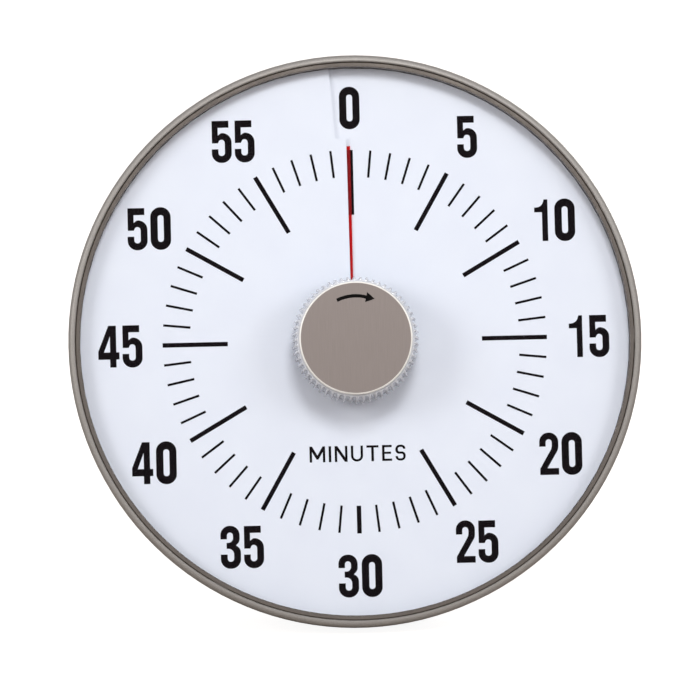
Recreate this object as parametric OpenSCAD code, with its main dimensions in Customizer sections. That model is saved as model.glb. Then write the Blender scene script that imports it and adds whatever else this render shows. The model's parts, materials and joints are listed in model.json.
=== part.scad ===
// Round wind-up kitchen timer: a 60-minute dial with a red disc that screws through a slit card.
// The timer is drawn flat in its own frame (X right, Y up the dial, Z out of the dial, Z = 0 at
// the card's low edge) and place() leans it back on the stand. Lengths are in millimetres.

/* [Case] */
// Outside diameter of the case
case_d = 180; // [150:1:216]
// Thickness of the case wall
case_wall = 2.1; // [1.6:0.1:3]
// Radius of the rounded front edge of the case
case_edge_r = 1.6; // [0.8:0.1:2]
// Height of the rim above the dial card
rim_rise = 6; // [5.5:0.1:8]
// Distance from the rim's front to the widest line, where the case starts to taper
widest_back = 14; // [10:0.5:18]
// Thickness of the rear cover
cover_t = 2; // [1.6:0.1:3]
// Radius of the screw columns in the case
column_r = 4; // [3.2:0.1:5]

/* [Lens and bezel] */
// Thickness of the clear lens
lens_t = 1.2; // [1:0.1:1.6]
// Thickness of the bezel's lip over the lens
bezel_lip_t = 0.7; // [0.5:0.1:1]
// Visible width of the bezel ring
bezel_w = 1.5; // [1.2:0.05:2]
// How far the bezel sits below the rim
bezel_drop = 0.5; // [0.3:0.1:0.8]
// Radius of the lens hole round the spindle
lens_hole_r = 4.2; // [3.8:0.1:6]
// Length of each release notch in the bezel
notch_l = 5; // [3:0.5:8]

/* [Dial] */
// Thickness of the dial card
card_t = 0.4; // [0.3:0.05:0.5]
// Rise of the card over one turn, from one edge of the slit to the other
card_rise = 1.2; // [1:0.05:1.5]
// Radius of the hole in the card
card_hole_r = 12; // [11:0.5:16]
// Radius where the slit steps aside to clear the 0
slit_r = 64.3; // [62:0.1:66]
// Angle by which the outer part of the slit steps aside
slit_step_deg = 4.2; // [4:0.1:8]
// Distance of the slit's inner part to the left of the 0 line
slit_left = 1.25; // [0:0.05:1.5]
// Thickness of the red film
film_t = 0.2; // [0.15:0.05:0.3]
// Radius of the red film
film_r = 61.7; // [50:0.1:61.8]
// Width of red that shows beside the slit at zero
film_show = 1.2; // [0.5:0.1:2]
// Radius of the film's collar
collar_r = 9; // [8:0.5:10]
// Thickness of the dial plate
dial_plate_t = 1.6; // [1.2:0.1:2.4]

/* [Knob] */
// Diameter of the clear ribbed skirt
knob_d = 40; // [34:0.5:48]
// Diameter of the metal cap
knob_cap_d = 35.4; // [29:0.2:40]
// Height of the knob above its gap to the lens
knob_h = 11.2; // [9:0.1:16]
// Gap between the knob and the lens
knob_gap = 0.8; // [0.5:0.1:2]
// Thickness of the metal cap
knob_cap_t = 1.2; // [0.8:0.1:2]
// Number of ribs round the skirt
knob_ribs = 60; // [40:1:80]
// Radius of the spindle
spindle_r = 3; // [2.5:0.1:3.5]

/* [Movement] */
// Gap between the movement's two plates
plates_gap = 11; // [10:0.2:14]
// Thickness of a movement plate
plate_t = 1; // [0.8:0.1:1.4]
// Radius of the movement plates
plate_r = 38.5; // [38:0.5:44]
// Gap between the dial plate and the front movement plate
front_gap = 1.1; // [1:0.1:2]
// Room behind the rear movement plate for the bell
bell_room = 8.8; // [8:0.2:14]
// Tooth module of the great wheel and its pinion
great_m = 0.6; // [0.58:0.01:0.62]
// Tooth module of the second wheel and its pinion
second_m = 0.5; // [0.48:0.01:0.52]
// Tooth module of the third wheel and its pinion
third_m = 0.4; // [0.38:0.01:0.42]
// Outer radius of the bell
bell_r = 20; // [17:0.5:22]

/* [Stand] */
// Angle by which the dial leans back, in degrees
lean = 12; // [8:1:15]
// Angle of the stand's leg behind the vertical, in degrees
leg_back = 10; // [6:1:14]
// Height of the hinge above the dial's centre
hinge_up = 26; // [10:1:40]
// Distance of the hinge pin behind the rear cover
hinge_out = 4.2; // [4:0.1:6]
// Width of the leg at the hinge
leg_top_w = 34; // [24:1:44]
// Width of the leg's foot
foot_w = 52; // [40:1:60]
// Thickness of the leg
leg_t = 3; // [2:0.1:3.6]
// Radius of the hinge pin
pin_r = 1.25; // [1:0.05:1.6]

/* [Hidden] */
$fn = 96;

card_step = 5;      // angle of one cell of the card's helix

// Clearances
run_gap = 0.05;     // radial gap of a turning fit
seat_gap = 0.1;     // gap round a piece that drops into a seat
screw_gap = 0.02;   // radial gap of a screw shank in its hole
through = 1;        // how far a cutter passes a face

// Radii of the case, lens and card
case_r = case_d / 2;
bore_r = case_r - case_wall;
bezel_out_r = bore_r - seat_gap;
bezel_in_r = bezel_out_r - bezel_w;
bezel_chamfer = 0.3;
notch_w = 0.5;
notch_depth = 0.6;
lens_seat_wall = 0.6;
lens_r = bezel_out_r - lens_seat_wall - seat_gap;
spacer_in_r = bezel_in_r + 0.15;
card_r = spacer_in_r - seat_gap;
ledge_w = 6;
ledge_t = 2;

// Heights from front to rear, along Z
lens_top = rim_rise - bezel_drop - bezel_lip_t;
lens_bottom = lens_top - lens_t;
film_gap = (card_rise - card_t - film_t) / 2;
film_room = 0.3;    // room under the red film's low end
plate_top = -(card_rise + film_room);
dial_plate_back = plate_top - dial_plate_t;
front_face = dial_plate_back - front_gap;
inner_front = front_face - plate_t;
inner_rear = inner_front - plates_gap;
rear_face = inner_rear - plate_t;
cover_front = rear_face - bell_room;
case_back = cover_front - cover_t;
widest_z = rim_rise - widest_back;

// Taper of the case, a little more than the lean so that only the widest line meets the floor
taper = lean + 2;
case_back_r = case_r - (widest_z - case_back) * tan(taper);
cover_r = case_back_r - case_wall - seat_gap;
column_angles = [45, 135, 225, 315];
column_inset = 1.8;
column_at = cover_r - column_r - column_inset;
column_web = 2;
cover_screw_r = 1.3;
cover_hole_r = 1.5;

// Knob
knob_base = lens_top + knob_gap;
knob_top = knob_base + knob_h;
cap_back = knob_top - knob_cap_t;
knob_recess = 1.1;
recess_rim = 2;
skirt_wall = 2.4;
knob_boss_r = 2 * spindle_r;
knob_screw_r = 1.5;
knob_screw_l = 5;
web_t = 1.5;
web_top = cap_back - knob_recess;
knob_draft = 0.9;
rib_h = 0.8;
rib_w = 1;

// Dial plate and red film
bush_r = 5;
tapping_r = 0.9;
film_span = 360 - card_step;

// Train: teeth, arbor positions and levels
great_n = 72;
second_pinion_n = 12;
second_n = 60;
third_pinion_n = 10;
third_n = 60;
escape_pinion_n = 10;
escape_n = 20;
second_dir = 150;
third_dir = 60;
escape_dir = -10;
pallet_dir = 30;
balance_dir = -60;
function polar(r, a) = [r * cos(a), r * sin(a)];
function centre_gap(m, a, b) = m * (a + b) / 2;
second_at = polar(centre_gap(great_m, great_n, second_pinion_n), second_dir);
third_at = second_at + polar(centre_gap(second_m, second_n, third_pinion_n), third_dir);
escape_at = third_at + polar(centre_gap(third_m, third_n, escape_pinion_n), escape_dir);
escape_r = 7;
pallet_out = 2.9;   // from the escape wheel's tips to the lever's axis
pallet_at = escape_at + polar(escape_r + pallet_out, pallet_dir);
balance_r = 9.5;
lever_l = 12;
fork_back = 2.7;    // from the fork's tips to the balance's axis
balance_at = pallet_at + polar(lever_l, balance_dir);
pallet_pin_r = 0.35;
pallet_span = 2.5 * 360 / escape_n;

wheel_t = 0.8;
great_t = 1;
great_z = inner_front - 0.8 - great_t;
ratchet_z = great_z - wheel_t;
second_z = inner_front - 2.5 - wheel_t;
escape_z = inner_front - 5 - wheel_t;
third_z = inner_rear + 2.2;
balance_z = inner_rear + 1;
hair_z = inner_rear + 2.6;
hair_t = 0.5;
spring_top = inner_front - 4;
spring_bottom = inner_rear + 0.6;
mesh_over = 0.3;    // how far a pinion runs past its wheel on each side
end_shake = 0.2;
arbor_r = 1;
pivot_r = 0.6;
hair_r = 5;
hair_w = 0.15;
stud_r = 0.5;
stud_at = balance_at + polar(hair_r + hair_w + stud_r + run_gap, balance_dir);

// Ratchet: tooth faces are radial, and the click's beak rests in front of the face at 0 degrees
ratchet_n = 16;
ratchet_tip = 5;
ratchet_root = 4;
click_at = polar(7.6, -50);
click_pin_r = 0.6;

hub_r = spindle_r + 0.3;
rear_pivot_r = 2;
spring_r = 12;
spring_t = 0.35;
post_r = 1;
plate_screw_r = 1;
thread_l = 3;       // depth of the holes in a pillar's ends
pillar_r = 1.75;
pillar_at = plate_r - 3.5;
pillar_angles = [88, 25, 205, 300];
boss_at = plate_r - 3.5;
boss_angles = [60, 150, 240, 340];
boss_r = 2.4;

// Trip cam, hammer and bell, behind the rear plate
cam_z = rear_face - 1.4;
cam_t = 1;
cam_r = 7;
bell_at = [0, -17];
bell_rim = rear_face - 1.8;
bell_t = 1;
bell_crown = cover_front + 1.4;
bell_post_r = 3;
bell_hole_r = 1.5;
bell_screw_r = 1.2;
head_r = 2;
hammer_head_at = bell_at + polar(bell_r + 0.4 + head_r, 10);
hammer_at = [27, 2];
hammer_w = 2.4;

// Stand
widest_drop = case_r * cos(lean) - widest_z * sin(lean);
pin_z = case_back - hinge_out;
pin_height = widest_drop + hinge_up * cos(lean) + pin_z * sin(lean);
leg_len = pin_height / cos(leg_back);
leg_open = lean + leg_back;
barrel_r = hinge_out - 1;
stop_gap = 0.15;
heel = (hinge_out - stop_gap - leg_t / 2 * cos(leg_open)) / sin(leg_open);
foot_depth = 5.6;
foot_h = 6;
foot_seat = 2.5;    // how far the leg's end stays above the foot's sole
foot_side = 2;
leg_shoulder = 20;
lug_t = 4;
lug_r = 3.4;
lug_x = leg_top_w / 2 + 0.4 + lug_t / 2;

// Place in the room: on the floor, with the footprint's middle on the vertical axis
foot_y = hinge_up * sin(lean) - pin_z * cos(lean) + leg_len * sin(leg_back);
front_y = -(case_r - case_edge_r) * sin(lean) - rim_rise * cos(lean);
back_shift = -(foot_y + foot_depth / 2 + front_y) / 2;

module place() { translate([0, back_shift, widest_drop]) rotate([90 - lean, 0, 0]) children(); }
module lift(z) { translate([0, 0, z]) children(); }
module at(p, z = 0) { translate([p[0], p[1], z]) children(); }
module round_array(angles, r) { for (a = angles) rotate(a) translate([r, 0]) children(); }

// ---- Shared shapes ----

// Straight-flanked gear outline with one tooth centred on +X
module gear_2d(m, n) {
    r = m * n / 2;
    pitch = PI * m;
    root = r - 1.1 * m;
    tip = r + 0.8 * m;
    flank = [[root, -0.25 * pitch], [tip, -0.1 * pitch], [tip, 0.1 * pitch], [root, 0.25 * pitch]];
    polygon([for (i = [0:n - 1]) let (a = 360 * i / n) for (p = flank)
        [p[0] * cos(a) - p[1] * sin(a), p[0] * sin(a) + p[1] * cos(a)]]);
}

// Wheel with five round windows; dir turns a tooth towards its pinion
module wheel(m, n, t, bore, dir, window_r, window_at) {
    linear_extrude(t) difference() {
        rotate(dir) gear_2d(m, n);
        circle(bore);
        round_array([36:72:324], window_at) circle(window_r);
    }
}

// Arbor between the plates with a pinion; dir is the way to the driving wheel
module pinion_arbor(m, n, z0, z1, dir) {
    arbor();
    lift(z0) linear_extrude(z1 - z0) difference() {
        rotate(dir + 180 / n) gear_2d(m, n);
        circle(arbor_r / 2);
    }
}

module arbor() {
    lift(inner_rear + end_shake) cylinder(r = arbor_r, h = plates_gap - 2 * end_shake);
    lift(rear_face) cylinder(r = pivot_r, h = plates_gap + 2 * plate_t);
}

// Pan-head screw with a slot, head up, its shank running down from Z = 0
module screw(head_r, head_h, shank_r, l) {
    difference() {
        cylinder(r = head_r, h = head_h);
        translate([-head_r, -0.2, head_h / 2]) cube([2 * head_r, 0.4, head_h]);
    }
    lift(-l) cylinder(r = shank_r, h = l);
}

// Flat spiral strip, from radius r0 at angle a0, growing over a number of turns
module spiral_2d(r0, r1, turns, t, a0) {
    steps = turns * 24;
    inner = [for (i = [0:steps]) polar(r0 + (r1 - r0) * i / steps, a0 + i * 15)];
    outer = [for (i = [steps:-1:0]) polar(r0 + t + (r1 - r0) * i / steps, a0 + i * 15)];
    polygon(concat(inner, outer));
}

// Point at radius r and clockwise dial angle a, on a helix that rises card_rise a turn
function on_helix(r, a, base) = [r * sin(a), r * cos(a), base + card_rise * a / 360];

// The same for the card, whose edges at 0 and 360 run slit_left beside the 0 line
function on_card(r, a, base) = on_helix(r, a % 360 == 0 ? a - asin(slit_left / r) : a, base);

// ---- Case ----

module case_shell() {
    arc = [for (i = [0:6]) let (a = 90 - 15 * i)
        [case_r - case_edge_r + case_edge_r * cos(a), rim_rise - case_edge_r + case_edge_r * sin(a)]];
    color([0.60, 0.57, 0.54]) place() difference() {
        union() {
            rotate_extrude() polygon(concat(
                [[bore_r, rim_rise - 0.3], [bore_r + 0.3, rim_rise]], arc,
                [[case_r, widest_z], [case_back_r, case_back],
                 [case_back_r - case_wall, case_back],
                 [case_back_r - case_wall, cover_front],
                 [bore_r, widest_z], [bore_r, dial_plate_back - ledge_t],
                 [bore_r - ledge_w, dial_plate_back - ledge_t],
                 [bore_r - ledge_w, dial_plate_back], [bore_r, dial_plate_back]]));
            // screw columns, each tied to the wall and the ledge by a web
            round_array(column_angles, column_at) lift(cover_front) {
                cylinder(r = column_r, h = dial_plate_back - cover_front);
                translate([0, -column_web / 2, 0])
                    cube([cover_r + case_wall / 2 - column_at, column_web, dial_plate_back - cover_front]);
            }
        }
        round_array(column_angles, column_at) lift(cover_front - through)
            cylinder(r = cover_screw_r, h = 10 + through);
    }
}

module bezel_ring() {
    top = rim_rise - bezel_drop;
    color([0.50, 0.46, 0.42]) place() difference() {
        rotate_extrude() polygon([
            [bezel_out_r, lens_bottom], [bezel_out_r, top - bezel_chamfer], [bezel_out_r - bezel_chamfer, top],
            [bezel_in_r + bezel_chamfer, top], [bezel_in_r, top - bezel_chamfer], [bezel_in_r, lens_top],
            [lens_r + seat_gap, lens_top], [lens_r + seat_gap, lens_bottom]]);
        for (a = [0, 120, 240]) rotate(a) translate([bezel_out_r - notch_w, -notch_l / 2, top - notch_depth])
            cube([notch_w + through, notch_l, notch_depth + through]);
    }
}

module front_lens() {
    color([0.9, 0.95, 1, 0.25]) place() lift(lens_bottom) difference() {
        cylinder(r = lens_r, h = lens_t);
        lift(-through) cylinder(r = lens_hole_r, h = lens_t + 2 * through);
    }
}

module lens_spacer() {
    color([0.35, 0.33, 0.32]) place() lift(plate_top) difference() {
        cylinder(r = bezel_out_r - seat_gap, h = lens_bottom - plate_top);
        lift(-through) cylinder(r = spacer_in_r, h = lens_bottom - plate_top + 2 * through);
    }
}

// ---- Dial ----

// The card is two rings of helix cells: the inner one runs from 0 to 360 degrees and the
// outer one starts and ends slit_step_deg earlier, which makes the step in the slit.

// Closed helix sheet between heights top and bottom. r_list holds the inner, step and outer
// radius; a_first holds the angles that only the outer ring has, and a_last those of the inner
module helix_cells(r_list, a_first, a_list, a_last, top, bottom) {
    // stations hold all the angles; column 0..2 are the three radii
    angles = concat(a_first, a_list, a_last);
    n = len(angles);
    m = len(a_first);
    k = len(a_last);
    pts = concat(
        [for (a = angles) for (r = r_list) on_card(r, a, top)],
        [for (a = angles) for (r = r_list) on_card(r, a, bottom)]);
    low = 3 * n;
    function id(i, j) = 3 * i + j;
    outer_cells = [for (i = [0:n - 2 - k]) [i, 1]];
    inner_cells = [for (i = [m:n - 2]) [i, 0]];
    faces = concat(
        [for (c = concat(outer_cells, inner_cells)) let (i = c[0], j = c[1])
            for (f = [[id(i, j), id(i, j + 1), id(i + 1, j + 1)],
                      [id(i, j), id(i + 1, j + 1), id(i + 1, j)]]) f],
        [for (c = concat(outer_cells, inner_cells)) let (i = c[0], j = c[1])
            for (f = [[id(i + 1, j + 1), id(i, j + 1), id(i, j)],
                      [id(i + 1, j), id(i + 1, j + 1), id(i, j)]]) [for (v = f) v + low]],
        // outer rim, hole rim, and the two stretches of the step's arc
        [for (i = [0:n - 2 - k]) for (f = wall(id(i, 2), id(i + 1, 2), low)) f],
        [for (i = [m:n - 2]) for (f = wall(id(i + 1, 0), id(i, 0), low)) f],
        [for (i = [0:1:m - 1]) for (f = wall(id(i + 1, 1), id(i, 1), low)) f],
        [for (i = [n - 1 - k:1:n - 2]) for (f = wall(id(i, 1), id(i + 1, 1), low)) f],
        // ends of the two rings
        wall(id(0, 1), id(0, 2), low), wall(id(m, 0), id(m, 1), low),
        wall(id(n - 1 - k, 2), id(n - 1 - k, 1), low), wall(id(n - 1, 1), id(n - 1, 0), low));
    polyhedron(points = pts, faces = faces);
}
// Two triangles that close the edge from p to q between the top and the bottom
function wall(p, q, low) = [[p, p + low, q + low], [p, q + low, q]];

module dial_card() {
    color([0.93, 0.95, 0.98]) place() helix_cells([card_hole_r, slit_r, card_r],
        [-slit_step_deg], concat([for (a = [0:card_step:360 - 2 * card_step]) a], [360 - slit_step_deg]),
        [360], 0, -card_t);
}

// Ring under the card's rim: its top follows the card and its base is flat on the dial plate
module card_ring() {
    angles = concat([-slit_step_deg], [for (a = [0:card_step:360 - 2 * card_step]) a], [360 - slit_step_deg - 0.2]);
    n = len(angles);
    pts = concat(
        [for (a = angles) for (r = [slit_r, card_r]) on_card(r, a, -card_t)],
        [for (a = angles) for (r = [slit_r, card_r]) let (p = on_card(r, a, 0)) [p[0], p[1], plate_top]]);
    low = 2 * n;
    faces = concat(
        [for (i = [0:n - 2]) for (f = [[2 * i, 2 * i + 1, 2 * i + 3], [2 * i, 2 * i + 3, 2 * i + 2]]) f],
        [for (i = [0:n - 2]) for (f = [[2 * i + 3, 2 * i + 1, 2 * i], [2 * i + 2, 2 * i + 3, 2 * i]])
            [for (v = f) v + low]],
        [for (i = [0:n - 2]) for (f = wall(2 * i + 1, 2 * i + 3, low)) f],
        [for (i = [0:n - 2]) for (f = wall(2 * i + 2, 2 * i, low)) f],
        wall(0, 1, low), wall(2 * n - 1, 2 * n - 2, low));
    color([0.85, 0.86, 0.88]) place() polyhedron(points = pts, faces = faces);
}

module dial_plate() {
    color([0.88, 0.88, 0.86]) place() difference() {
        union() {
            lift(dial_plate_back) cylinder(r = bore_r - seat_gap, h = dial_plate_t);
            round_array(boss_angles, boss_at) lift(front_face)
                cylinder(r = boss_r, h = front_gap + dial_plate_t / 2);
        }
        lift(dial_plate_back - through) cylinder(r = bush_r, h = dial_plate_t + 2 * through);
        round_array(boss_angles, boss_at) lift(front_face - through)
            cylinder(r = tapping_r, h = through + front_gap + 1);
    }
}
module spindle_bush() {
    color([0.78, 0.62, 0.30]) place() difference() {
        union() {
            lift(dial_plate_back) cylinder(r = bush_r, h = dial_plate_t);
            lift(dial_plate_back - 0.7) cylinder(r = bush_r + 2, h = 0.7);
        }
        lift(dial_plate_back - 2) cylinder(r = spindle_r + run_gap, h = dial_plate_t + 4);
    }
}

// Red film: a helix sheet just above the card's own helix, with a straight leading edge that
// shows film_show beside the slit
module red_film() {
    radii = [collar_r - 0.4, film_r];
    angles = concat([-film_span], [for (a = [card_step - film_span:card_step:-card_step]) a]);
    n = len(angles) + 1;
    function film_points(base) = concat(
        [for (a = angles) for (r = radii) on_helix(r, a, base)],
        [for (r = radii) on_helix(r, asin((film_show - slit_left) / r), base)]);
    pts = concat(film_points(film_gap + film_t), film_points(film_gap));
    low = 2 * n;
    faces = concat(
        [for (i = [0:n - 2]) for (f = [[2 * i, 2 * i + 1, 2 * i + 3], [2 * i, 2 * i + 3, 2 * i + 2]]) f],
        [for (i = [0:n - 2]) for (f = [[2 * i + 3, 2 * i + 1, 2 * i], [2 * i + 2, 2 * i + 3, 2 * i]])
            [for (v = f) v + low]],
        [for (i = [0:n - 2]) for (f = wall(2 * i + 1, 2 * i + 3, low)) f],
        [for (i = [0:n - 2]) for (f = wall(2 * i + 2, 2 * i, low)) f],
        wall(0, 1, low), wall(2 * n - 1, 2 * n - 2, low));
    color([0.78, 0.10, 0.14]) place() polyhedron(points = pts, faces = faces);
}

module film_collar() {
    collar_bottom = film_gap - card_rise - 0.25;
    collar_top = film_gap + film_t + 0.3;
    color([0.92, 0.92, 0.92]) place() lift(collar_bottom) difference() {
        cylinder(r = collar_r, h = collar_top - collar_bottom);
        lift(-through) cylinder(r = spindle_r + run_gap, h = collar_top - collar_bottom + 2 * through);
    }
}

// ---- Knob and spindle ----

module knob_skirt() {
    wall_r = knob_d / 2 - rib_h;
    h = cap_back - knob_base;
    color([0.86, 0.87, 0.88, 0.6]) place() difference() {
        lift(knob_base) intersection() {
            linear_extrude(h) {
                circle(wall_r);
                for (i = [0:knob_ribs - 1]) rotate(i * 360 / knob_ribs)
                    translate([wall_r - 1, -rib_w / 2]) square([rib_h + 1, rib_w]);
            }
            cylinder(r1 = knob_d / 2, r2 = knob_d / 2 - knob_draft, h = h);
        }
        // hollow below the web, leaving a boss round the spindle
        lift(knob_base - through) difference() {
            cylinder(r = wall_r - skirt_wall, h = web_top - web_t - knob_base + through);
            cylinder(r = knob_boss_r, h = web_top - web_t - knob_base + 2 * through);
        }
        lift(web_top) cylinder(r = knob_cap_d / 2 - recess_rim, h = knob_recess + through);
        lift(knob_base - through) cylinder(r = spindle_r + screw_gap, h = web_top - web_t - knob_base + through);
        lift(knob_base) cylinder(r = knob_screw_r + 0.1, h = knob_h);
    }
}

module knob_cap() {
    r = knob_cap_d / 2;
    color([0.58, 0.54, 0.51]) place() rotate_extrude() polygon([
        [0, cap_back], [r, cap_back], [r, knob_top - 0.4], [r - 0.12, knob_top - 0.12],
        [r - 0.4, knob_top], [0, knob_top]]);
}

module knob_screw() {
    color([0.7, 0.7, 0.7]) place() lift(web_top) screw(2.6, 0.9, knob_screw_r, web_t + knob_screw_l);
}

module spindle() {
    color([0.72, 0.73, 0.75]) place() difference() {
        union() {
            lift(inner_front - 0.2) cylinder(r = spindle_r, h = web_top - web_t - inner_front + 0.2);
            lift(inner_rear + end_shake) cylinder(r = hub_r, h = plates_gap - 2 * end_shake);
            lift(cam_z - 0.3) cylinder(r = rear_pivot_r, h = inner_rear - cam_z + 0.3 + end_shake);
        }
        lift(web_top - web_t - knob_screw_l - 1)
            cylinder(r = knob_screw_r + screw_gap, h = knob_screw_l + 1 + through);
    }
}

// ---- Movement ----

module plate_outline(holes) {
    difference() {
        circle(plate_r);
        for (p = [second_at, third_at, escape_at, pallet_at, balance_at]) at(p) circle(pivot_r + run_gap);
        round_array(pillar_angles, pillar_at) circle(plate_screw_r);
        children();
    }
}

module front_plate() {
    color([0.80, 0.66, 0.36]) place() lift(inner_front) linear_extrude(plate_t) plate_outline() {
        circle(spindle_r + run_gap);
        round_array(boss_angles, boss_at) circle(1.1);
        at(stud_at) circle(stud_r);
    }
}

module rear_plate() {
    color([0.80, 0.66, 0.36]) place() lift(rear_face) linear_extrude(plate_t) plate_outline() {
        circle(rear_pivot_r + run_gap);
        at(bell_at) circle(bell_hole_r);
        at(hammer_at) circle(post_r);
    }
}

module pillars() {
    color([0.75, 0.75, 0.77]) place() round_array(pillar_angles, pillar_at) difference() {
        lift(inner_rear) cylinder(r = pillar_r, h = plates_gap);
        lift(inner_rear - through) cylinder(r = plate_screw_r, h = thread_l + through);
        lift(inner_front - thread_l) cylinder(r = plate_screw_r, h = thread_l + through);
    }
}

module plate_screws() {
    color([0.62, 0.62, 0.64]) place() round_array(pillar_angles, pillar_at) {
        lift(front_face) screw(1.8, 0.8, plate_screw_r - screw_gap, plate_t + thread_l - 0.5);
        lift(rear_face) mirror([0, 0, 1]) screw(1.8, 0.8, plate_screw_r - screw_gap, plate_t + thread_l - 0.5);
    }
}

module movement_screws() {
    color([0.62, 0.62, 0.64]) place() round_array(boss_angles, boss_at) lift(inner_front)
        mirror([0, 0, 1]) screw(1.8, 0.9, tapping_r - screw_gap, plate_t + front_gap + 0.8);
}

module great_wheel() {
    color([0.93, 0.93, 0.90]) place() lift(great_z)
        wheel(great_m, great_n, great_t, hub_r, second_dir, 3.2, 15);
}

module ratchet_wheel() {
    pitch = 360 / ratchet_n;
    color([0.70, 0.71, 0.73]) place() lift(ratchet_z) linear_extrude(wheel_t) difference() {
        polygon([for (i = [0:ratchet_n - 1]) for (p = [[ratchet_root, 0], [ratchet_tip, 0]])
            polar(p[0], i * pitch)]);
        circle(hub_r);
    }
}

// Click: its outline runs from the beak along the inner side to the eye, and back
module click() {
    color([0.70, 0.71, 0.73]) place() lift(ratchet_z) linear_extrude(wheel_t) difference() {
        union() {
            at(click_at) circle(1.3);
            polygon([polar(4.25, -1.6), polar(4.85, -10), polar(5.35, -22), polar(6.1, -34),
                     polar(6.9, -43.5), polar(8.5, -43.5), polar(7.4, -16), polar(5.9, -1.6)]);
        }
        at(click_at) circle(click_pin_r + run_gap);
    }
}

module click_pin() {
    color([0.75, 0.75, 0.77]) place() at(click_at, ratchet_z) cylinder(r = click_pin_r, h = wheel_t);
}

module mainspring() {
    color([0.35, 0.38, 0.45]) place() lift(spring_bottom) linear_extrude(spring_top - spring_bottom)
        spiral_2d(hub_r + 0.1, spring_r, 6, spring_t, -90);
}

module spring_post() {
    color([0.75, 0.75, 0.77]) place() at([0, -(spring_r + spring_t + post_r + 0.05)], inner_rear)
        cylinder(r = post_r, h = spring_top - inner_rear);
}

module second_wheel() {
    color([0.93, 0.93, 0.90]) place() at(second_at, second_z)
        wheel(second_m, second_n, wheel_t, arbor_r, third_dir, 2.4, 9);
}
module second_arbor() {
    color([0.72, 0.73, 0.75]) place() at(second_at)
        pinion_arbor(great_m, second_pinion_n, great_z - mesh_over, great_z + great_t + mesh_over, second_dir + 180);
}
module third_wheel() {
    color([0.93, 0.93, 0.90]) place() at(third_at, third_z)
        wheel(third_m, third_n, wheel_t, arbor_r, escape_dir, 1.9, 7);
}
module third_arbor() {
    color([0.72, 0.73, 0.75]) place() at(third_at)
        pinion_arbor(second_m, third_pinion_n, second_z - mesh_over, second_z + wheel_t + mesh_over, third_dir + 180);
}

module escape_wheel() {
    root = 5.2;
    pitch = 360 / escape_n;
    first = pallet_dir + pallet_span / 2 + pitch / 4;
    color([0.93, 0.93, 0.90]) place() at(escape_at, escape_z) linear_extrude(wheel_t) difference() {
        polygon([for (i = [0:escape_n - 1]) let (a = first + i * pitch)
            for (p = [[root, -0.28], [escape_r, -0.03], [escape_r, 0.03], [root, 0.28]])
                polar(p[0], a + p[1] * pitch)]);
        circle(arbor_r);
        round_array([0:72:288], 3.3) circle(1);
    }
}
module escape_arbor() {
    color([0.72, 0.73, 0.75]) place() at(escape_at)
        pinion_arbor(third_m, escape_pinion_n, third_z - mesh_over, third_z + wheel_t + mesh_over, escape_dir + 180);
}

// Lever: two arms with pins that face the escape wheel, and a fork that faces the balance
module pallet_lever() {
    pin_circle = escape_r + pallet_pin_r + 0.1;
    pins = [for (s = [-1, 1]) escape_at + polar(pin_circle, pallet_dir + s * pallet_span / 2) - pallet_at];
    fork = lever_l - fork_back;
    color([0.72, 0.73, 0.75]) place() at(pallet_at) {
        lift(escape_z + wheel_t + 0.3) linear_extrude(wheel_t) difference() {
            union() {
                circle(1.9);
                for (p = pins) rotate(atan2(p[1], p[0])) translate([0, -0.6]) square([norm(p), 1.2]);
                for (p = pins) at(p) circle(0.8);
                rotate(balance_dir) translate([0, -0.7]) square([fork - 1.4, 1.4]);
                rotate(balance_dir) translate([fork - 2.4, -1.5]) square([2.4, 3]);
            }
            circle(arbor_r);
            rotate(balance_dir) translate([fork - 1.3, -0.5]) square([2, 1]);
        }
        for (p = pins) at(p, escape_z) cylinder(r = pallet_pin_r, h = wheel_t + 0.3);
    }
}
module pallet_arbor() {
    color([0.72, 0.73, 0.75]) place() at(pallet_at) arbor();
}

module balance_wheel() {
    color([0.80, 0.66, 0.36]) place() at(balance_at) {
        lift(balance_z) linear_extrude(0.9) {
            difference() {
                circle(balance_r);
                circle(balance_r - 1.6);
            }
            difference() {
                union() {
                    for (a = [0, 90]) rotate(a) square([2 * balance_r - 2, 1.4], center = true);
                    circle(2.2);
                }
                circle(arbor_r);
            }
        }
    }
}
// Staff with its roller and impulse pin
module balance_staff() {
    roller_z = escape_z + wheel_t + 0.3;
    color([0.72, 0.73, 0.75]) place() at(balance_at) {
        arbor();
        lift(roller_z - 0.7) cylinder(r = 2.2, h = 0.5);
        lift(roller_z - 0.3) at(polar(1.7, balance_dir + 180)) cylinder(r = 0.3, h = 0.9);
    }
}

module hairspring() {
    color([0.40, 0.44, 0.52]) place() at(balance_at, hair_z) linear_extrude(hair_t)
        spiral_2d(arbor_r + run_gap, hair_r, 5, hair_w, balance_dir);
}
module hairspring_stud() {
    color([0.75, 0.75, 0.77]) place() at(stud_at, hair_z)
        cylinder(r = stud_r, h = inner_front + plate_t - hair_z);
}

// ---- Trip cam, hammer and bell ----

module trip_cam() {
    color([0.90, 0.90, 0.86]) place() lift(cam_z) linear_extrude(cam_t) difference() {
        polygon([for (a = [0:5:355]) polar(a < 20 ? 4.5 : 4.5 + (cam_r - 4.5) * (a - 20) / 335, a)]);
        circle(rear_pivot_r);
    }
}

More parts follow.
